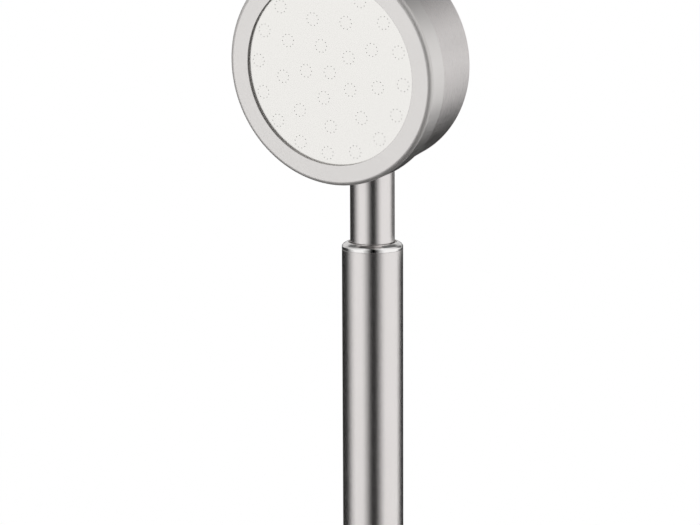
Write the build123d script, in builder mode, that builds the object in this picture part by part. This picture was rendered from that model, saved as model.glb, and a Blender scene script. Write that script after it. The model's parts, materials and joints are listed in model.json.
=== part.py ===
from build123d import *
from math import cos, hypot, radians, sin, tan
import os

# Hand shower in stainless steel: a drum head on a slim neck and a tubular handle.
# Millimetres. +Z runs up the handle, the spray leaves towards -Y, and the origin is
# on the handle's axis at the shoulder where the hose nut stops.

# Inlet
thread_diameter = 20.955
thread_length = 12.0
thread_lead_in = 1.0
inlet_bore = 12.0
strainer_pocket = 15.0
strainer_pocket_depth = 8.0
nipple_band = 5.0
nipple_edge = 0.4
nipple_spigot = 10.0

# Strainer
screen_thickness = 0.4
screen_opening = 0.8
screen_pitch = 1.3
seal_height = 2.0
seal_width = 1.9

# Handle
handle_diameter = 22.0
handle_wall = 1.0
handle_length = 120.0

# Collar between handle and neck
collar_land = 0.3
collar_spigot = 12.0
shoulder_height = 2.1
shoulder_bulge = 0.25
lip_width = 0.25
neck_gap = 0.8
neck_gap_depth = 1.6
neck_socket = 8.0

# Neck
neck_diameter = 16.0
neck_wall = 1.0

# Drum: its axis crosses the handle's axis at this height above the collar's edge
head_height = 68.9
head_tilt = 6.6
shell_wall = 1.0
shell_draft = 2.2
shell_side_end = 30.65
knuckle_radius = 2.1
knuckle_turn = 60.0
neck_inset = 0.15

# Face ring, measured from its front plane
ring_diameter = 80.6
ring_flare = 0.2
ring_depth = 9.2
ring_wall = 2.3
ring_step = 1.0
ring_edge_radius = 1.3
ring_lip = 1.0
ring_opening = 65.5
ring_gap = 0.4

# Spray plate, its gasket and the threaded seat in the drum's mouth
plate_thickness = 0.8
gasket_thickness = 1.5
seat_width = 2.75
seat_weld_length = 4.0
seat_edge = 0.4

# Spray holes: small circles of fine holes, set on three circles round a central one
hole_diameter = 0.3
hole_sides = 6
hole_circle = 4.5
holes_per_circle = 10
circle_spacing = 9.6
circle_rows = [(5, 35.3), (9, 26.7), (16, 16.5)]

# Clearances per side
weld_fit = 0.05
seal_fit = 0.05
thread_clearance = 0.25
plate_clearance = 0.3

# Levels and radii along the handle
handle_radius = handle_diameter / 2
handle_bore_radius = handle_radius - handle_wall
spigot_radius = handle_bore_radius - weld_fit
thread_radius = thread_diameter / 2
pocket_radius = strainer_pocket / 2
pocket_top = strainer_pocket_depth - thread_length
seal_radius = pocket_radius - seal_fit
seal_bore_radius = seal_radius - seal_width
neck_radius = neck_diameter / 2
neck_bore_radius = neck_radius - neck_wall
tube_top = handle_length - collar_land
neck_foot = handle_length - neck_socket
lip_top = handle_length + shoulder_height
axis_height = handle_length + head_height

# The drum's own frame: radius across, depth behind the front plane of the face ring
head_reach = shell_side_end - neck_inset
face_normal = Vector(0, -cos(radians(head_tilt)), -sin(radians(head_tilt)))
face_up = Vector(0, -sin(radians(head_tilt)), cos(radians(head_tilt)))
face_centre = Vector(0, 0, axis_height) + face_normal * head_reach
drum_axis = Axis(face_centre, face_normal)
drum_section = Plane(face_centre, x_dir=face_up, z_dir=(-1, 0, 0))

ring_radius = ring_diameter / 2
ring_bore_radius = ring_radius - ring_wall
lip_radius = ring_opening / 2
plate_back = ring_lip + plate_thickness
seat_front = plate_back + gasket_thickness
shell_mouth = ring_depth + ring_gap
shell_radius = ring_radius - ring_step
seat_radius = ring_bore_radius - thread_clearance
seat_bore_radius = seat_radius - seat_width
seat_weld_radius = shell_radius - shell_wall - weld_fit
seat_weld_taper = seat_weld_length * tan(radians(shell_draft))


def face_plane(depth):
    """Plane across the drum, this far behind the front of the face ring and facing the spray."""
    return Plane(face_centre - face_normal * depth, x_dir=(1, 0, 0), z_dir=face_normal)


def drum_outline(inset):
    """Half section of the drum: side with a little draft, tight knuckle and shallow domed back."""
    draft = radians(shell_draft)
    side_end_radius = shell_radius - (shell_side_end - shell_mouth) * tan(draft)
    knuckle_centre = (side_end_radius - knuckle_radius / cos(draft), shell_side_end)
    crown_radius = knuckle_radius + knuckle_centre[0] / cos(radians(knuckle_turn))
    crown_depth = shell_side_end + (knuckle_radius - crown_radius) * sin(radians(knuckle_turn))
    mouth = Line((0, shell_mouth), (shell_radius - inset / cos(draft), shell_mouth))
    knuckle = CenterArc(knuckle_centre, knuckle_radius - inset, shell_draft, knuckle_turn - shell_draft)
    Line(mouth @ 1, knuckle @ 0)
    crown = CenterArc((0, crown_depth), crown_radius - inset, knuckle_turn, 90 - knuckle_turn)
    Line(crown @ 1, mouth @ 0)


# Face ring: turned, with a lip over the plate's rim and a threaded skirt
with BuildPart() as face_ring:
    with BuildSketch(drum_section):
        with BuildLine():
            Polyline(
                (lip_radius, 0),
                (ring_radius - ring_flare, 0),
                (ring_radius, ring_depth),
                (ring_bore_radius, ring_depth),
                (ring_bore_radius, ring_lip),
                (lip_radius, ring_lip),
                close=True,
            )
        make_face()
    revolve(axis=drum_axis)
    rim_edges = face_ring.edges().filter_by(GeomType.CIRCLE).sort_by(SortBy.RADIUS)[-2:]
    fillet(rim_edges.sort_by(drum_axis)[-1], ring_edge_radius)

# Spray plate: flat disc with the fine spray holes
with BuildPart() as spray_plate:
    with BuildSketch(face_plane(plate_back)):
        Circle(ring_bore_radius - plate_clearance)
        with PolarLocations(hole_circle / 2, holes_per_circle):
            RegularPolygon(hole_diameter / 2, hole_sides, mode=Mode.SUBTRACT)
        for row, (count, first_angle) in enumerate(circle_rows, start=1):
            with PolarLocations(row * circle_spacing, count, start_angle=first_angle):
                with PolarLocations(hole_circle / 2, holes_per_circle):
                    RegularPolygon(hole_diameter / 2, hole_sides, mode=Mode.SUBTRACT)
    extrude(amount=plate_thickness)

# Gasket: flat silicone ring between the plate and its seat
with BuildPart() as plate_gasket:
    with BuildSketch(face_plane(seat_front)):
        Circle(seat_radius)
        Circle(seat_bore_radius, mode=Mode.SUBTRACT)
    extrude(amount=gasket_thickness)

# Mouth ring: turned seat welded into the drum's mouth, threaded for the face ring
with BuildPart() as mouth_ring:
    with BuildSketch(drum_section):
        with BuildLine():
            Polyline(
                (seat_bore_radius, seat_front),
                (seat_radius - seat_edge, seat_front),
                (seat_radius, seat_front + seat_edge),
                (seat_radius, shell_mouth),
                (seat_weld_radius, shell_mouth),
                (seat_weld_radius - seat_weld_taper, shell_mouth + seat_weld_length),
                (seat_bore_radius, shell_mouth + seat_weld_length),
                close=True,
            )
        make_face()
    revolve(axis=drum_axis)

# Head shell: drawn drum with a port for the neck low on its back edge
with BuildPart() as head_shell:
    with BuildSketch(drum_section):
        with BuildLine():
            drum_outline(0)
        make_face()
    revolve(axis=drum_axis)
    with BuildSketch(drum_section):
        with BuildLine():
            drum_outline(shell_wall)
        make_face()
    revolve(axis=drum_axis, mode=Mode.SUBTRACT)
    with BuildSketch(Plane.XY.offset(neck_foot)):
        Circle(neck_bore_radius)
    extrude(amount=axis_height - neck_foot, mode=Mode.SUBTRACT)

# Neck: straight tube, its top end cut to the drum's outside
with BuildPart() as neck_tube:
    with BuildSketch(Plane.XY.offset(neck_foot)):
        Circle(neck_radius)
        Circle(neck_bore_radius, mode=Mode.SUBTRACT)
    extrude(amount=axis_height - neck_foot)
    with BuildSketch(drum_section):
        with BuildLine():
            drum_outline(0)
        make_face()
    revolve(axis=drum_axis, mode=Mode.SUBTRACT)

# Collar: turned reducer with a rounded shoulder, a gap round the neck and a spigot in the handle
with BuildPart() as handle_collar:
    gap_radius = neck_radius + neck_gap
    socket_radius = neck_radius + weld_fit
    with BuildSketch(Plane.XZ):
        with BuildLine():
            shoulder = SagittaArc(
                (gap_radius + lip_width, lip_top),
                (handle_radius, handle_length),
                shoulder_bulge,
            )
            Polyline(
                shoulder @ 1,
                (handle_radius, tube_top),
                (spigot_radius, tube_top),
                (spigot_radius, tube_top - collar_spigot),
                (neck_bore_radius, tube_top - collar_spigot),
                (neck_bore_radius, neck_foot),
                (socket_radius, neck_foot),
                (socket_radius, lip_top - neck_gap_depth),
                (gap_radius, lip_top - neck_gap_depth),
                (gap_radius, lip_top),
                shoulder @ 0,
            )
        make_face()
    revolve(axis=Axis.Z)

# Handle: plain tube between the nipple's band and the collar
with BuildPart() as handle_tube:
    with BuildSketch(Plane.XY.offset(nipple_band)):
        Circle(handle_radius)
        Circle(handle_bore_radius, mode=Mode.SUBTRACT)
    extrude(amount=tube_top - nipple_band)

# Inlet nipple: turned end with the hose thread, a stop shoulder and a spigot in the handle
with BuildPart() as inlet_nipple:
    with BuildSketch(Plane.XZ):
        with BuildLine():
            Polyline(
                (pocket_radius, -thread_length),
                (thread_radius - thread_lead_in, -thread_length),
                (thread_radius, thread_lead_in - thread_length),
                (thread_radius, 0),
                (handle_radius - nipple_edge, 0),
                (handle_radius, nipple_edge),
                (handle_radius, nipple_band),
                (spigot_radius, nipple_band),
                (spigot_radius, nipple_band + nipple_spigot),
                (inlet_bore / 2, nipple_band + nipple_spigot),
                (inlet_bore / 2, pocket_top),
                (pocket_radius, pocket_top),
                close=True,
            )
        make_face()
    revolve(axis=Axis.Z)

# Strainer screen: wire mesh disc against the step in the inlet's pocket
with BuildPart() as strainer_mesh:
    rows = int(2 * seal_bore_radius / screen_pitch)
    with BuildSketch(Plane.XY.offset(pocket_top - screen_thickness)):
        Circle(seal_radius)
        with GridLocations(screen_pitch, screen_pitch, rows, rows) as grid:
            places = [(place.position.X, place.position.Y) for place in grid.local_locations]
        with Locations(*[place for place in places if hypot(*place) < seal_bore_radius - screen_opening / 2]):
            Rectangle(screen_opening, screen_opening, mode=Mode.SUBTRACT)
    extrude(amount=screen_thickness)

# Strainer seal: rubber ring that holds the screen in the pocket
with BuildPart() as strainer_seal:
    with BuildSketch(Plane.XY.offset(pocket_top - screen_thickness - seal_height)):
        Circle(seal_radius)
        Circle(seal_bore_radius, mode=Mode.SUBTRACT)
    extrude(amount=seal_height)

face_ring.part.label = "face_ring"
spray_plate.part.label = "spray_plate"
plate_gasket.part.label = "plate_gasket"
mouth_ring.part.label = "mouth_ring"
head_shell.part.label = "head_shell"
neck_tube.part.label = "neck_tube"
handle_collar.part.label = "handle_collar"
handle_tube.part.label = "handle_tube"
inlet_nipple.part.label = "inlet_nipple"
strainer_mesh.part.label = "strainer_mesh"
strainer_seal.part.label = "strainer_seal"

os.makedirs("parts", exist_ok=True)
export_step(face_ring.part, "parts/face_ring.step")
export_step(spray_plate.part, "parts/spray_plate.step")
export_step(plate_gasket.part, "parts/plate_gasket.step")
export_step(mouth_ring.part, "parts/mouth_ring.step")
export_step(head_shell.part, "parts/head_shell.step")
export_step(neck_tube.part, "parts/neck_tube.step")
export_step(handle_collar.part, "parts/handle_collar.step")
export_step(handle_tube.part, "parts/handle_tube.step")
export_step(inlet_nipple.part, "parts/inlet_nipple.step")
export_step(strainer_mesh.part, "parts/strainer_mesh.step")
export_step(strainer_seal.part, "parts/strainer_seal.step")
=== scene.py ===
import bmesh
import bpy
import json
from math import atan2, ceil, cos, pi, radians, sin, tan, tau
from mathutils import Matrix, Vector


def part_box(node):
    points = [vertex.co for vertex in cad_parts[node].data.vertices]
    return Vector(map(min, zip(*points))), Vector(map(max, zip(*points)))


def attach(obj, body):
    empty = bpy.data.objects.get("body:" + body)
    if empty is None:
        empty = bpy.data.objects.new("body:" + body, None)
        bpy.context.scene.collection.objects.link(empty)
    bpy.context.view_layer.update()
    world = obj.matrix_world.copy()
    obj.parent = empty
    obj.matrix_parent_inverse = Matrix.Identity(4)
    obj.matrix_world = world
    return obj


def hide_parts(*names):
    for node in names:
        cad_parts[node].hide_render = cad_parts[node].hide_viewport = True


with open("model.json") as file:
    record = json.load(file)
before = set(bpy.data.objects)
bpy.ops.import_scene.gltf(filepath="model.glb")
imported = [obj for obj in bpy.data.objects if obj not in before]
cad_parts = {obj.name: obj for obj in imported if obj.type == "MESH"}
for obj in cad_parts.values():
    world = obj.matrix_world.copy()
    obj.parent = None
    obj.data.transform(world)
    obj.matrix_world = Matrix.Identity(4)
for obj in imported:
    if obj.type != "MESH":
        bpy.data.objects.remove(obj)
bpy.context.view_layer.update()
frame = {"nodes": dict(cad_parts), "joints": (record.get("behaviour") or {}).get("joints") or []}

# Head shell: a drum deep-drawn from stainless sheet, with a tight knuckle at its back edge and
# a shallow domed back. Its side is satin brushed round the axis, and a port low on the back
# edge opens into the neck that is welded there.
MM = 0.001
unscrew = next(joint for joint in frame["joints"] if joint["name"] == "ring_unscrew")
face_centre = Vector(unscrew["pos_m"])
face_normal = Vector(unscrew["axis"])
inward = -face_normal
head_tilt = atan2(-face_normal.z, -face_normal.y)
drum_turn = (head_tilt + pi / 2, 0, 0)
across = Vector((1, 0, 0))
up = Vector((0, 0, 1))

shell_radius = 39.3
shell_draft = radians(2.2)
shell_wall = 1.0
shell_mouth = 9.6
shell_side_end = 30.65
knuckle_radius = 2.1
knuckle_turn = radians(60)
knuckle_steps = 10
crown_steps = 18
shell_edge = 0.2
port_radius = 7.0
port_foot = Vector((0, 0, 112))
port_length = 76.9
port_steps = 96
drum_steps = 288
steel_colour = (0.75, 0.72, 0.71)

merge_distance = 0.002 * MM
smooth_angle = radians(40)
edge_segments = 3
mix_first = 6
mix_second = 7
mix_result = 2


def arc(centre, radius, first, last, steps):
    """Points of an arc in a half section, from one angle to another."""
    turns = [first + (last - first) * step / steps for step in range(steps + 1)]
    return [(centre[0] + radius * cos(turn), centre[1] + radius * sin(turn)) for turn in turns]


def drum_outline(inset):
    """The drum's half section from mouth to middle of the back, this far in from its outside."""
    side_end_radius = shell_radius - (shell_side_end - shell_mouth) * tan(shell_draft)
    knuckle_centre = (side_end_radius - knuckle_radius / cos(shell_draft), shell_side_end)
    crown_radius = knuckle_radius + knuckle_centre[0] / cos(knuckle_turn)
    crown_centre = (0, shell_side_end + (knuckle_radius - crown_radius) * sin(knuckle_turn))
    knuckle = arc(knuckle_centre, knuckle_radius - inset, shell_draft, knuckle_turn, knuckle_steps)
    crown = arc(crown_centre, crown_radius - inset, knuckle_turn, pi / 2, crown_steps)
    return [(shell_radius - inset / cos(shell_draft), shell_mouth), *knuckle, *crown[1:]]


def pick(piece):
    """Make this the only selected object, and the active one."""
    bpy.ops.object.select_all(action="DESELECT")
    piece.select_set(True)
    bpy.context.view_layer.objects.active = piece


def edit(piece):
    """Go into edit mode on this object alone, with all of it selected."""
    pick(piece)
    bpy.ops.object.mode_set(mode="EDIT")
    bpy.ops.mesh.select_all(action="SELECT")


def start_piece(name):
    """Add a small plane to shape, under this name, and go into edit mode on it."""
    bpy.ops.object.select_all(action="DESELECT")
    bpy.ops.mesh.primitive_plane_add(size=MM)
    piece = bpy.context.active_object
    piece.name = name
    piece.data.name = name
    edit(piece)
    return piece


def turned(name, outline, base, axis, steps):
    """Turn a closed half section, points of radius and distance along the axis, into a piece."""
    places = [base + (across * radius + axis * along) * MM for radius, along in outline]
    piece = start_piece(name)
    bpy.ops.mesh.merge(type="CENTER")
    bpy.ops.transform.translate(value=places[0])
    for here, there in zip(places, places[1:] + places[:1]):
        bpy.ops.mesh.extrude_region_move(TRANSFORM_OT_translate={"value": there - here})
    bpy.ops.mesh.select_all(action="SELECT")
    bpy.ops.mesh.remove_doubles(threshold=merge_distance)
    bpy.ops.mesh.spin(steps=steps, angle=tau, center=base, axis=axis)
    bpy.ops.mesh.select_all(action="SELECT")
    bpy.ops.mesh.remove_doubles(threshold=merge_distance)
    bpy.ops.mesh.delete_loose()
    bpy.ops.mesh.select_all(action="SELECT")
    bpy.ops.mesh.normals_make_consistent(inside=False)
    bpy.ops.object.mode_set(mode="OBJECT")
    return piece


def apply(piece, kind, **settings):
    """Add a modifier with these settings and apply it."""
    modifier = piece.modifiers.new(kind.lower(), kind)
    for setting, value in settings.items():
        setattr(modifier, setting, value)
    pick(piece)
    bpy.ops.object.modifier_apply(modifier=modifier.name)


def ease_edges(piece, width, sharpness=32):
    """Round off by this much the edges that turn more than this many degrees."""
    apply(
        piece, "BEVEL",
        limit_method="ANGLE", angle_limit=radians(sharpness), width=width * MM, segments=edge_segments,
    )


def cut(piece, tool):
    """Take the tool's volume out of the piece, and delete the tool."""
    apply(piece, "BOOLEAN", operation="DIFFERENCE", solver="EXACT", object=tool)
    bpy.data.objects.remove(tool)


def shade(piece):
    """Shade smooth, with broad faces kept flat up to their eased edges."""
    pick(piece)
    bpy.ops.object.shade_smooth_by_angle(angle=smooth_angle)
    apply(piece, "WEIGHTED_NORMAL", mode="FACE_AREA", keep_sharp=True)


class Wire:
    """One output of a shader node: operators on it add Math nodes, and node adds any other node."""

    def __init__(self, tree, socket=None):
        self.tree = tree
        self.socket = socket

    def node(self, kind, settings, sockets, output=0):
        made = self.tree.nodes.new(kind)
        for setting, value in settings.items():
            setattr(made, setting, value)
        for name, value in sockets.items():
            if isinstance(value, Wire):
                self.tree.links.new(value.socket, made.inputs[name])
            else:
                made.inputs[name].default_value = value
        return Wire(self.tree, made.outputs[output])

    def math(self, operation, first, second=0.0):
        return self.node("ShaderNodeMath", {"operation": operation}, {0: first, 1: second})

    def __add__(self, other):
        return self.math("ADD", self, other)

    def __radd__(self, other):
        return self.math("ADD", other, self)

    def __sub__(self, other):
        return self.math("SUBTRACT", self, other)

    def __rsub__(self, other):
        return self.math("SUBTRACT", other, self)

    def __mul__(self, other):
        return self.math("MULTIPLY", self, other)

    def __rmul__(self, other):
        return self.math("MULTIPLY", other, self)

    def __truediv__(self, other):
        return self.math("DIVIDE", self, other)

    def __rtruediv__(self, other):
        return self.math("DIVIDE", other, self)

    def __pow__(self, other):
        return self.math("POWER", self, other)

    def __rpow__(self, other):
        return self.math("POWER", other, self)


def new_finish(name):
    """A new material, its shader node, and a wire that starts its maths."""
    material = bpy.data.materials.new(name)
    material.use_nodes = True
    return material, material.node_tree.nodes["Principled BSDF"], Wire(material.node_tree)


def feed(start, shader, **sockets):
    """Link wires into the shader's sockets and set plain numbers on them."""
    for name, value in sockets.items():
        socket = shader.inputs[name.replace("_", " ")]
        if isinstance(value, Wire):
            start.tree.links.new(value.socket, socket)
        else:
            socket.default_value = value


def object_place(start):
    """Where a point lies on the piece, in metres."""
    return start.node("ShaderNodeTexCoord", {}, {}, "Object")


def along_axis(start, place, axis):
    """One of a place's three coordinates."""
    return start.node("ShaderNodeSeparateXYZ", {}, {"Vector": place}, axis)


def clamp(start, value):
    """A value held between 0 and 1."""
    return start.node("ShaderNodeClamp", {}, {"Value": value})


def shaded(start, colour, level):
    """A colour darkened by a level that changes over the surface."""
    grey = start.node("ShaderNodeCombineColor", {}, {"Red": level, "Green": level, "Blue": level})
    return start.node(
        "ShaderNodeMix",
        {"data_type": "RGBA", "blend_type": "MULTIPLY"},
        {"Factor": 1.0, mix_first: (*colour, 1), mix_second: grey},
        mix_result,
    )


def spokes(start, base, turn):
    """Coordinates about a turning axis: two spokes of unit length, radius and height in millimetres."""
    off_axis = 0.0001
    local = start.node(
        "ShaderNodeMapping",
        {"vector_type": "TEXTURE"},
        {"Vector": object_place(start), "Location": base, "Rotation": turn, "Scale": (MM, MM, MM)},
    )
    x = along_axis(start, local, "X")
    y = along_axis(start, local, "Y")
    z = along_axis(start, local, "Z")
    radius = (x * x + y * y + off_axis) ** 0.5
    return x / radius, y / radius, radius, z


def steel(
    name, colour, roughness, base, turn, round_grain, long_grain, depth,
    painted_shade_bore=0.0, rim=1000.0, rim_level=0.0,
):
    """Satin stainless steel: grain lines round or along a turning axis, with faint clouding.

    Nearer the axis than the first radius given, the colour is darkened by painted shade, for the shadow
    where the ring's lip meets the plate, and the surface is made duller. What lies outside the rim and
    above its level is an edge that was tumbled matt.
    """
    cloud_scale = 90.0
    mottle = 0.04
    bore_sharpness = 10.0
    bore_painted_shade = 0.35
    bore_dulling = 0.2
    rim_sharpness = 3.0
    rim_dulling = 0.3
    grain_dulling = 0.06
    grain_height = 0.02 * MM

    material, shader, start = new_finish(name)
    x, y, radius, z = spokes(start, base, turn)
    lines = start.node(
        "ShaderNodeCombineXYZ", {},
        {"X": x * round_grain, "Y": y * round_grain, "Z": (z + radius) * long_grain},
    )
    grain = start.node(
        "ShaderNodeTexNoise", {}, {"Vector": lines, "Scale": 1.0, "Detail": 3.0, "Roughness": 0.6},
    )
    cloud = start.node(
        "ShaderNodeTexNoise", {},
        {"Vector": object_place(start), "Scale": cloud_scale, "Detail": 3.0},
    )
    # Painted shade: inside the lip's wall the colour is darkened, for the shadow where the ring's lip
    # meets the plate; the roughness there is raised too.
    painted_shade_and_dulling = clamp(start, (painted_shade_bore - radius) * bore_sharpness)
    outside = clamp(start, (radius - rim) * rim_sharpness)
    tumbled = clamp(start, (z - rim_level) * rim_sharpness) * outside
    level = (1.0 - mottle + mottle * grain + mottle * cloud) * (1.0 - bore_painted_shade * painted_shade_and_dulling)
    dulling = grain_dulling * grain + bore_dulling * painted_shade_and_dulling + rim_dulling * tumbled
    bump = start.node(
        "ShaderNodeBump", {}, {"Height": grain, "Strength": depth, "Distance": grain_height},
    )
    feed(
        start, shader,
        Base_Color=shaded(start, colour, level), Metallic=1.0, Normal=bump,
        Roughness=roughness - grain_dulling / 2 + dulling,
    )
    return material


drum_satin = steel(
    "drum_satin", steel_colour, roughness=0.28, base=face_centre, turn=drum_turn,
    round_grain=6.0, long_grain=9.0, depth=0.1,
)
head_shell = turned(
    "head_shell_drawn", drum_outline(0) + drum_outline(shell_wall)[::-1],
    face_centre, inward, drum_steps,
)
ease_edges(head_shell, shell_edge)
port_core = turned(
    "port_core",
    [(0, 0), (port_radius, 0), (port_radius, port_length), (0, port_length)],
    port_foot * MM, up, port_steps,
)
cut(head_shell, port_core)
shade(head_shell)
head_shell.data.materials.append(drum_satin)
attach(head_shell, "body")
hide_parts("head_shell")

# Mouth ring: a turned stainless ring welded into the drum's mouth. It carries the fine male
# thread for the face ring, and its front end is the seat for the gasket.
seat_radius = 37.75
seat_bore_radius = 35.0
seat_weld_radius = 38.25
seat_front = 3.3
seat_weld_end = 13.6
seat_weld_taper = (seat_weld_end - shell_mouth) * tan(shell_draft)
seat_edge = 0.4
ring_pitch = 1.0
ring_thread_depth = 0.45
thread_rows = 10
ring_colour = (0.75, 0.73, 0.715)
# The radius inside which the ring's colour is darkened by painted shade, on the lip's inner wall.
painted_lip_shade_radius = 32.85
tumbled_rim = 38.5
tumbled_depth = 1.9


def levels(start, end, pitch):
    """Steps along a threaded stretch, the same number to each turn of the thread, and its end."""
    step = pitch / thread_rows
    count = int((end - start) / step)
    return [*[start + step * index for index in range(count)], end]


def cut_thread(piece, base, axis, radius, pitch, depth, start, end):
    """Press a right-hand thread into a turned surface, or outwards into a bore with a depth below 0.

    It runs out over a turn at each end. Between the ends the rows are moved on to the helix.
    """
    on_surface = 0.02
    flank_slope = 1.25
    crest_flat = 0.125
    beside = axis.cross(across)
    for vertex in piece.data.vertices:
        along = (vertex.co - base).dot(axis) / MM
        spoke = vertex.co - base - axis * along * MM
        if abs(spoke.length / MM - radius) > on_surface or not start < along < end:
            continue
        turn = atan2(spoke.dot(beside), spoke.dot(across)) / tau
        if start + pitch / 2 < along < end - pitch / 2:
            row = (along / pitch - turn) * thread_rows
            shift = (round(row) - row) * pitch / thread_rows
            along += shift
            vertex.co += axis * shift * MM
        flank = 1 - abs(2 * ((along / pitch - turn) % 1) - 1)
        groove = min(max(flank * flank_slope - crest_flat, 0), 1)
        run_out = min(1, (along - start) / pitch, (end - along) / pitch)
        vertex.co -= spoke.normalized() * depth * groove * run_out * MM
    apply(piece, "TRIANGULATE", quad_method="SHORTEST_DIAGONAL")


# The face ring's lip wall gets painted shade in this finish, for the shadow where the lip meets the
# plate.
turned_satin = steel(
    "turned_satin", ring_colour, roughness=0.3, base=face_centre, turn=drum_turn,
    round_grain=2.0, long_grain=14.0, depth=0.2,
    painted_shade_bore=painted_lip_shade_radius, rim=tumbled_rim, rim_level=-tumbled_depth,
)
mouth_ring = turned(
    "mouth_ring_threaded",
    [
        (seat_bore_radius, seat_front),
        (seat_radius - seat_edge, seat_front),
        *[(seat_radius, level) for level in levels(seat_front + seat_edge, shell_mouth, ring_pitch)],
        (seat_weld_radius, shell_mouth),
        (seat_weld_radius - seat_weld_taper, seat_weld_end),
        (seat_bore_radius, seat_weld_end),
    ],
    face_centre, inward, drum_steps,
)
cut_thread(
    mouth_ring, face_centre, inward, seat_radius, ring_pitch, ring_thread_depth,
    seat_front + seat_edge, shell_mouth,
)
shade(mouth_ring)
mouth_ring.data.materials.append(turned_satin)
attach(mouth_ring, "body")
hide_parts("mouth_ring")

# Neck: a straight stainless tube, satin finished along its length. Its top end is cut to the
# drum's round side and welded there, and its foot stands in the collar's socket.
neck_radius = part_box("neck_tube")[1].x / MM
neck_bore_radius = port_radius
neck_edge = 0.15
upright = (0, 0, 0)
handle_base = Vector((0, 0, 0))
tube_steps = 160

tube_satin = steel(
    "tube_satin", steel_colour, roughness=0.26, base=handle_base, turn=upright,
    round_grain=160.0, long_grain=0.3, depth=0.15,
)
neck = turned(
    "neck_coped",
    [
        (neck_bore_radius, 0),
        (neck_radius, 0),
        (neck_radius, port_length),
        (neck_bore_radius, port_length),
    ],
    port_foot * MM, up, tube_steps,
)
ease_edges(neck, neck_edge)
drum_plug = turned(
    "drum_plug", [(0, shell_mouth), *drum_outline(0)], face_centre, inward, drum_steps,
)
cut(neck, drum_plug)
shade(neck)
neck.data.materials.append(tube_satin)
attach(neck, "body")
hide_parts("neck_tube")

# Collar: a turned stainless reducer at the top of the handle, polished smoother than the tube, with its
# steel colour painted brighter than the tube's as a painted highlight.
# Two bevels run up to a narrow rim, a slit stands open round the neck, and a spigot is welded
# into the handle.
handle_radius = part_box("handle_tube")[1].x / MM
tube_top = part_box("handle_tube")[1].z / MM
collar_corner = 120.75
bevel_radius = 10.6
bevel_top = 121.4
rim_edge_radius = 9.5
rim_edge = 122.1
rim_top = 122.25
rim_width = 0.3
gap_radius = 8.7
gap_floor = 120.5
socket_radius = 8.05
spigot_radius = 9.95
spigot_length = 12.0
spigot_foot = tube_top - spigot_length
collar_edge = 0.08
collar_sharpness = 15
# Painted highlight: the collar's steel colour is set brighter than the tube's, for the bright band on
# its bevel.
collar_colour_painted_bright = (0.9, 0.885, 0.875)

collar_satin_painted_bright = steel(
    "collar_satin_painted_bright", collar_colour_painted_bright, roughness=0.17, base=handle_base, turn=upright,
    round_grain=3.0, long_grain=12.0, depth=0.3,
)
collar = turned(
    "collar_turned",
    [
        (handle_radius, tube_top),
        (handle_radius, collar_corner),
        (bevel_radius, bevel_top),
        (rim_edge_radius, rim_edge),
        (gap_radius + rim_width, rim_top),
        (gap_radius, rim_top),
        (gap_radius, gap_floor),
        (socket_radius, gap_floor),
        (socket_radius, port_foot.z),
        (neck_bore_radius, port_foot.z),
        (neck_bore_radius, spigot_foot),
        (spigot_radius, spigot_foot),
        (spigot_radius, tube_top),
    ],
    handle_base, up, tube_steps,
)
ease_edges(collar, collar_edge, collar_sharpness)
shade(collar)
collar.data.materials.append(collar_satin_painted_bright)
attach(collar, "body")
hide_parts("handle_collar")

# Handle: a plain length of stainless tube, satin finished along its length. The collar is welded
# into its top and the inlet nipple into its foot.
handle_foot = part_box("handle_tube")[0].z / MM
handle_wall = 1.0
handle_edge = 0.12

handle = turned(
    "handle_drawn",
    [
        (handle_radius - handle_wall, handle_foot),
        (handle_radius, handle_foot),
        (handle_radius, tube_top),
        (handle_radius - handle_wall, tube_top),
    ],
    handle_base, up, tube_steps,
)
ease_edges(handle, handle_edge)
shade(handle)
handle.data.materials.append(tube_satin)
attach(handle, "body")
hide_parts("handle_tube")

# Inlet nipple: the turned stainless end of the handle, welded into the tube. It has the male
# half-inch pipe thread for the hose nut, a stop shoulder and a stepped pocket for the strainer.
thread_radius = 10.4775
thread_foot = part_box("inlet_nipple")[0].z / MM
thread_lead_in = 1.0
thread_relief = 0.9
pipe_pitch = 1.814
pipe_depth = 1.162
pocket_radius = 7.5
pocket_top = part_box("strainer_mesh")[1].z / MM
inlet_radius = 6.0
nipple_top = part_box("inlet_nipple")[1].z / MM
nipple_edge = 0.4

nipple = turned(
    "nipple_threaded",
    [
        (pocket_radius, thread_foot),
        (thread_radius - thread_lead_in, thread_foot),
        *[(thread_radius, level) for level in levels(thread_foot + thread_lead_in, 0, pipe_pitch)],
        (handle_radius - nipple_edge, 0),
        (handle_radius, nipple_edge),
        (handle_radius, handle_foot),
        (spigot_radius, handle_foot),
        (spigot_radius, nipple_top),
        (inlet_radius, nipple_top),
        (inlet_radius, pocket_top),
        (pocket_radius, pocket_top),
    ],
    handle_base, up, tube_steps,
)
cut_thread(
    nipple, handle_base, up, thread_radius, pipe_pitch, pipe_depth,
    thread_foot + thread_lead_in / 2, -thread_relief / 2,
)
shade(nipple)
# The nipple takes the collar's steel, whose colour is painted brighter as a painted highlight.
nipple.data.materials.append(collar_satin_painted_bright)
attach(nipple, "body")
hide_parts("inlet_nipple")

# Strainer screen: a disc of plain-woven stainless wire, punched out of gauze. It lies against the
# step in the inlet, and the seal below holds it there.
wire_radius = 0.095
wire_wave = 0.1
wire_pitch = 0.65
wire_sides = 6
steps_per_crossing = 4
screen_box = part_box("strainer_mesh")
screen_radius = screen_box[1].x / MM
screen_level = (screen_box[0].z + screen_box[1].z) / 2 / MM
wire_colour = (0.62, 0.61, 0.6)


def chord(row):
    """The length of the wire that lies this many wires from the disc's middle."""
    return 2 * (screen_radius**2 - (row * wire_pitch) ** 2) ** 0.5


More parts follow.
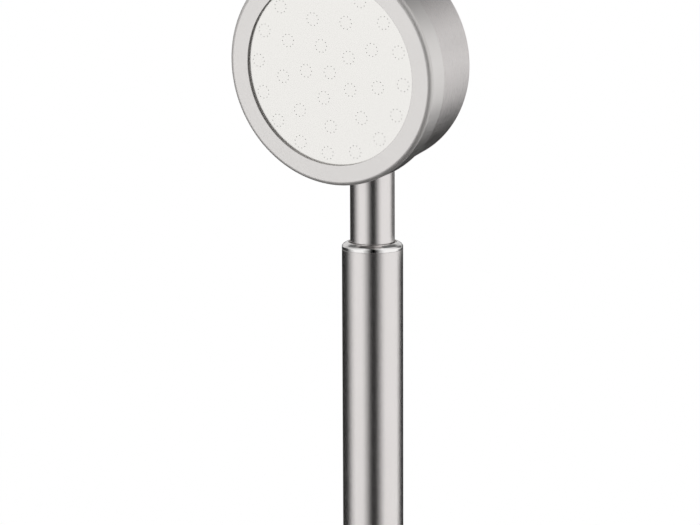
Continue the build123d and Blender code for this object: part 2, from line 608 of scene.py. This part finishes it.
def wires(name, side):
    """Parallel wires across the disc: along X for side 1, along Y and waved the other way for -1.

    Each is a strip rolled up into a tube, and waves over and under the wires that cross it.
    """
    strip = wire_pitch / 2
    rows = int(screen_radius / wire_pitch)
    layer = start_piece(name)
    bpy.ops.mesh.delete(type="VERT")
    for row in range(-rows, rows + 1):
        bpy.ops.mesh.primitive_grid_add(
            x_subdivisions=ceil(chord(row) / wire_pitch * steps_per_crossing),
            y_subdivisions=wire_sides,
            size=strip * MM, location=(0, row * wire_pitch * MM, 0),
        )
    bpy.ops.object.mode_set(mode="OBJECT")
    for vertex in layer.data.vertices:
        row = round(vertex.co.y / MM / wire_pitch)
        along = vertex.co.x / MM / strip * chord(row)
        turn = (vertex.co.y / MM - row * wire_pitch) / strip * tau
        wave = side * wire_wave * cos(pi * (along / wire_pitch + row))
        beside = row * wire_pitch + wire_radius * cos(turn)
        spot = (along, beside) if side > 0 else (-beside, along)
        vertex.co = Vector((*spot, screen_level + wave + wire_radius * sin(turn))) * MM
    edit(layer)
    bpy.ops.mesh.remove_doubles(threshold=merge_distance)
    bpy.ops.mesh.fill_holes(sides=wire_sides)
    bpy.ops.mesh.select_all(action="SELECT")
    bpy.ops.mesh.normals_make_consistent(inside=False)
    bpy.ops.object.mode_set(mode="OBJECT")
    return layer


mesh_wire = steel(
    "mesh_wire", wire_colour, roughness=0.25, base=handle_base, turn=upright,
    round_grain=20.0, long_grain=4.0, depth=0.1,
)
screen = wires("strainer_screen_woven", 1)
weft = wires("weft", -1)
pick(screen)
weft.select_set(True)
bpy.ops.object.join()
shade(screen)
screen.data.materials.append(mesh_wire)
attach(screen, "body")
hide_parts("strainer_mesh")

# Strainer seal: a moulded ring of black rubber, pressed into the inlet's pocket. It holds the
# screen against its step and seals the hose.
seal_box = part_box("strainer_seal")
seal_radius = seal_box[1].x / MM
seal_bore_radius = 5.55
seal_foot = seal_box[0].z / MM
seal_top = seal_box[1].z / MM
seal_edge = 0.3
seal_steps = 96
seal_black = (0.02, 0.02, 0.02)
seal_grey = (0.05, 0.05, 0.05)


def rubber(name, dark, light, roughness, grain):
    """Moulded rubber: a matt skin with a fine grain and slight clouding."""
    skin_depth = 0.3
    skin_height = 0.05 * MM
    skin_dulling = 0.15
    material, shader, start = new_finish(name)
    skin = start.node(
        "ShaderNodeTexNoise", {}, {"Vector": object_place(start), "Scale": grain, "Detail": 4.0},
    )
    colour = start.node(
        "ShaderNodeMix",
        {"data_type": "RGBA"},
        {"Factor": skin, mix_first: (*dark, 1), mix_second: (*light, 1)},
        mix_result,
    )
    bump = start.node(
        "ShaderNodeBump", {}, {"Height": skin, "Strength": skin_depth, "Distance": skin_height},
    )
    feed(start, shader, Base_Color=colour, Roughness=roughness + skin_dulling * skin, Normal=bump)
    return material


seal_rubber = rubber("seal_rubber", seal_black, seal_grey, roughness=0.5, grain=1500.0)
seal = turned(
    "strainer_seal_moulded",
    [
        (seal_bore_radius, seal_foot),
        (seal_radius, seal_foot),
        (seal_radius, seal_top),
        (seal_bore_radius, seal_top),
    ],
    handle_base, up, seal_steps,
)
ease_edges(seal, seal_edge)
shade(seal)
seal.data.materials.append(seal_rubber)
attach(seal, "body")
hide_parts("strainer_seal")

# Gasket: a flat ring of white silicone between the seat and the spray plate. It lies loose on
# the seat and comes away with the plate, and its own solid is only given a finish.
silicone_dark = (0.74, 0.74, 0.72)
silicone_light = (0.84, 0.84, 0.82)
silicone = rubber("silicone", silicone_dark, silicone_light, roughness=0.35, grain=900.0)
frame["nodes"]["plate_gasket"].material_slots[0].material = silicone

# Spray plate: a thin stainless disc with a pale matt finish, held by the face ring's lip. Fine
# holes are drilled through it in small circles, which stand on three circles round a central one.
plate_radius = 37.7
plate_front = 1.0
plate_back = 1.8
plate_edge = 0.1
hole_radius = 0.15
hole_sides = 12
hole_circle_radius = 2.25
holes_per_circle = 10
circle_spacing = 9.6
circle_rows = [(1, 0.0), (5, 35.3), (9, 26.7), (16, 16.5)]
face_up = face_normal.cross(across)
plate_colour = (0.89, 0.876, 0.848)


def plate_finish():
    """Pale matt steel: even fine blasting with faint clouds."""
    blast_scale = 4000.0
    blast_depth = 0.1
    blast_height = 0.02 * MM
    blast_mottle = 0.05
    cloud_scale = 60.0
    cloud_mottle = 0.04
    cloud_dulling = 0.08
    darkest_level = 0.94
    roughness = 0.2
    material, shader, start = new_finish("plate_matt")
    place = object_place(start)
    blast = start.node("ShaderNodeTexNoise", {}, {"Vector": place, "Scale": blast_scale, "Detail": 2.0})
    cloud = start.node("ShaderNodeTexNoise", {}, {"Vector": place, "Scale": cloud_scale, "Detail": 3.0})
    level = darkest_level + blast_mottle * blast + cloud_mottle * cloud
    bump = start.node(
        "ShaderNodeBump", {}, {"Height": blast, "Strength": blast_depth, "Distance": blast_height},
    )
    feed(
        start, shader,
        Base_Color=shaded(start, plate_colour, level), Metallic=1.0, Normal=bump,
        Roughness=roughness + cloud_dulling * cloud,
    )
    return material


plate = turned(
    "spray_plate_drilled",
    [(0, plate_front), (plate_radius, plate_front), (plate_radius, plate_back), (0, plate_back)],
    face_centre, inward, drum_steps,
)
ease_edges(plate, plate_edge)

drills = start_piece("drills")
bpy.ops.mesh.delete(type="VERT")
drill_middle = face_centre + inward * (plate_front + plate_back) / 2 * MM
drill_length = 2 * (plate_back - plate_front)
for row, (count, first) in enumerate(circle_rows):
    for circle in range(count):
        spot = radians(first + 360 * circle / count)
        outward = across * cos(spot) + face_up * sin(spot)
        centre = drill_middle + outward * row * circle_spacing * MM
        for hole in range(holes_per_circle):
            angle = spot + tau * hole / holes_per_circle
            off_centre = across * cos(angle) + face_up * sin(angle)
            bpy.ops.mesh.primitive_cylinder_add(
                vertices=hole_sides, radius=hole_radius * MM, depth=drill_length * MM,
                location=centre + off_centre * hole_circle_radius * MM,
                rotation=drum_turn,
            )
bpy.ops.object.mode_set(mode="OBJECT")
cut(plate, drills)
shade(plate)
plate.data.materials.append(plate_finish())
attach(plate, "spray_face")
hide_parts("spray_plate")

# Face ring: turned from stainless bar, with a flat front, an eased outer edge, a lip over the
# plate's rim and a fine female thread in its skirt. It is screwed on by hand.
ring_radius = 40.3
ring_flare = 0.2
ring_depth = 9.2
ring_bore_radius = 38.0
ring_lip = 1.0
lip_radius = 32.75
ring_edge_radius = 1.5
ring_edge_steps = 12
ring_edge = 0.15
skirt_thread_start = 2.5
skirt_thread_end = 8.7
skirt_thread_depth = 0.4
skirt_levels = levels(skirt_thread_start, skirt_thread_end, ring_pitch)
flare_turn = atan2(ring_flare, ring_depth)
edge_side = ring_radius - ring_flare + ring_edge_radius * tan(flare_turn)
edge_centre = (edge_side - ring_edge_radius / cos(flare_turn), ring_edge_radius)

ring = turned(
    "face_ring_turned",
    [
        (lip_radius, 0),
        *arc(edge_centre, ring_edge_radius, -pi / 2, -flare_turn, ring_edge_steps),
        (ring_radius, ring_depth),
        (ring_bore_radius, ring_depth),
        *[(ring_bore_radius, level) for level in skirt_levels[::-1]],
        (ring_bore_radius, ring_lip),
        (lip_radius, ring_lip),
    ],
    face_centre, inward, drum_steps,
)
ease_edges(ring, ring_edge)
cut_thread(
    ring, face_centre, inward, ring_bore_radius, ring_pitch, -skirt_thread_depth,
    skirt_thread_start, skirt_thread_end,
)
shade(ring)
ring.data.materials.append(turned_satin)
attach(ring, "ring")
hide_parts("face_ring")

# Studio: a wide white floor well below the piece, even white light from all round, and cards that
# only reflections see. Dark ones round the lens, behind, beneath and overhead give the steel its
# dark bands, and a pale one behind the head and glowing ones behind the tubes light their backs.
floor_level = -0.6
floor_width = 4.0
card_facets = 360
card_foot = -0.55
card_top = 0.35
card_black = 0.03


def stage_surface(name):
    """Make the object just added part of the studio, with a plain finish: it, its shader and a wire."""
    surface = bpy.context.active_object
    surface.name = name
    material, shader, start = new_finish(name)
    surface.data.materials.append(material)
    feed(start, shader, Roughness=1.0, Specular_IOR_Level=0.0)
    return surface, shader, start


def hide_card(card, shader, start, shade_level, opacity, glow=0.0):
    """Let only reflections see a card, at this shade and as solid as this, glowing or not."""
    feed(
        start, shader,
        Base_Color=(shade_level, shade_level, shade_level, 1), Alpha=opacity,
        Emission_Color=(1, 1, 1, 1), Emission_Strength=glow,
    )
    card.visible_camera = False
    card.visible_diffuse = False
    card.visible_shadow = False


def round_card(name, distance, first, last, low, high, fade, shade_level=0.0, glow=0.0):
    """A card bent round the handle's axis, between two bearings from the front and two heights.

    Distances are in metres and bearings in degrees. It fades to nothing towards its sides, over
    this many degrees.
    """
    bpy.ops.object.select_all(action="DESELECT")
    bpy.ops.mesh.primitive_cylinder_add(
        vertices=card_facets, radius=distance, depth=high - low, end_fill_type="NOTHING",
        location=(0, 0, (low + high) / 2),
    )
    card, shader, start = stage_surface(name)
    edit(card)
    panel = bmesh.from_edit_mesh(card.data)
    for face in panel.faces:
        middle = face.calc_center_median()
        bearing = atan2(middle.x, -middle.y)
        face.select_set((bearing - radians(first)) % tau > radians(last - first))
    bmesh.update_edit_mesh(card.data)
    bpy.ops.mesh.delete(type="FACE")
    bpy.ops.object.mode_set(mode="OBJECT")
    facing = start.node(
        "ShaderNodeMapping",
        {"vector_type": "TEXTURE"},
        {"Vector": object_place(start), "Rotation": (0, 0, radians((first + last) / 2 - 90))},
    )
    x = along_axis(start, facing, "X")
    y = along_axis(start, facing, "Y")
    off_middle = start.math("ABSOLUTE", start.math("ARCTAN2", y, x))
    opacity = clamp(start, (radians((last - first) / 2) - off_middle) / radians(fade))
    hide_card(card, shader, start, shade_level, opacity, glow)


bpy.ops.object.select_all(action="DESELECT")
bpy.ops.mesh.primitive_plane_add(size=floor_width, location=(0, 0, floor_level))
floor_shader, floor_wire = stage_surface("floor")[1:]
feed(floor_wire, floor_shader, Base_Color=(1, 1, 1, 1))

round_card("lens_card", distance=1.0, first=-8, last=74, low=card_foot, high=2.5, fade=31)
round_card(
    "right_card", distance=1.0, first=140, last=265, low=card_foot, high=card_top, fade=50,
    shade_level=card_black,
)
round_card(
    "left_card", distance=1.05, first=180, last=317.5, low=card_foot, high=card_top, fade=39,
    shade_level=card_black,
)
round_card(
    "low_card", distance=1.02, first=139, last=300, low=card_foot, high=-0.2, fade=60,
    shade_level=card_black,
)
round_card(
    "handle_card", distance=0.07, first=125, last=215, low=-0.15, high=0.109, fade=32,
    shade_level=card_black,
)
round_card(
    "neck_card", distance=0.03, first=118, last=172, low=0.1195, high=0.147, fade=27,
    shade_level=0.12,
)
round_card(
    "rear_card", distance=0.3, first=150, last=270, low=0.14, high=0.32, fade=15,
    shade_level=0.7,
)

glow_strength = 0.8
glow_fade = 20
glow_sides = {"right": (150, 207), "left": (213, 270)}
glow_panels = {"back_glow": (0.0124, 0.0, 0.1202), "neck_glow": (0.0092, 0.1235, 0.152)}
for panel, (distance, low, high) in glow_panels.items():
    for side, (first, last) in glow_sides.items():
        round_card(f"{panel}_{side}", distance, first, last, low, high, glow_fade, glow=glow_strength)

under_radius = 0.95
under_level = -0.5
under_shade = 0.1
under_sides = 64
bpy.ops.object.select_all(action="DESELECT")
bpy.ops.mesh.primitive_circle_add(
    vertices=under_sides, radius=under_radius, fill_type="NGON", location=(0, 0, under_level),
)
hide_card(*stage_surface("under_card"), shade_level=under_shade, opacity=1.0)

dome_radius = 1.5
dome_level = 0.15
dome_bearing = radians(215)
dome_height = radians(55)
dome_start = 0.28
dome_fade = 0.55
dome_density = 0.85
dome_sides = 64
dome_rings = 32
bpy.ops.object.select_all(action="DESELECT")
bpy.ops.mesh.primitive_uv_sphere_add(
    segments=dome_sides, ring_count=dome_rings, radius=dome_radius, location=(0, 0, dome_level),
)
dome, dome_shader, dome_wire = stage_surface("dark_dome")
darkest = Vector((
    sin(dome_bearing) * cos(dome_height),
    -cos(dome_bearing) * cos(dome_height),
    sin(dome_height),
)) / dome_radius
nearness = dome_wire.node(
    "ShaderNodeVectorMath",
    {"operation": "DOT_PRODUCT"},
    {0: object_place(dome_wire), 1: darkest},
    "Value",
)
dome_opacity = clamp(dome_wire, (nearness - dome_start) / dome_fade) * dome_density
hide_card(dome, dome_shader, dome_wire, shade_level=0.0, opacity=dome_opacity)

world = bpy.data.worlds.new("studio")
bpy.context.scene.world = world
world.use_nodes = True
world.node_tree.nodes["Background"].inputs["Color"].default_value = (1, 1, 1, 1)
world.node_tree.nodes["Background"].inputs["Strength"].default_value = 1.0
bpy.context.scene.view_settings.view_transform = "Standard"

# Camera: a long lens nearly a metre away, to the right of the front, that looks slightly down at
# the top of the handle. It is rolled a little and shifted aside.
view_bearing = radians(30.25)
view_height = radians(10.09)
view_roll = radians(-0.25)
view_distance = 0.9
focal_pixels = 2509.2
image_width = 700
aim = Vector((0, 0, 0.120))
aside = -8.07 * MM
aloft = -5.4 * MM

forward = Vector((
    -sin(view_bearing) * cos(view_height),
    cos(view_bearing) * cos(view_height),
    -sin(view_height),
))
level_right = Vector((cos(view_bearing), sin(view_bearing), 0))
level_up = level_right.cross(forward)
right = level_right * cos(view_roll) + level_up * sin(view_roll)
upward = level_up * cos(view_roll) - level_right * sin(view_roll)
bpy.ops.object.camera_add(location=aim - forward * view_distance + right * aside + upward * aloft)
camera = bpy.context.active_object
camera.rotation_mode = "QUATERNION"
camera.rotation_quaternion = Matrix((right, upward, -forward)).transposed().to_quaternion()
camera.data.sensor_width = 36.0
camera.data.lens = focal_pixels / image_width * camera.data.sensor_width
bpy.context.scene.camera = camera
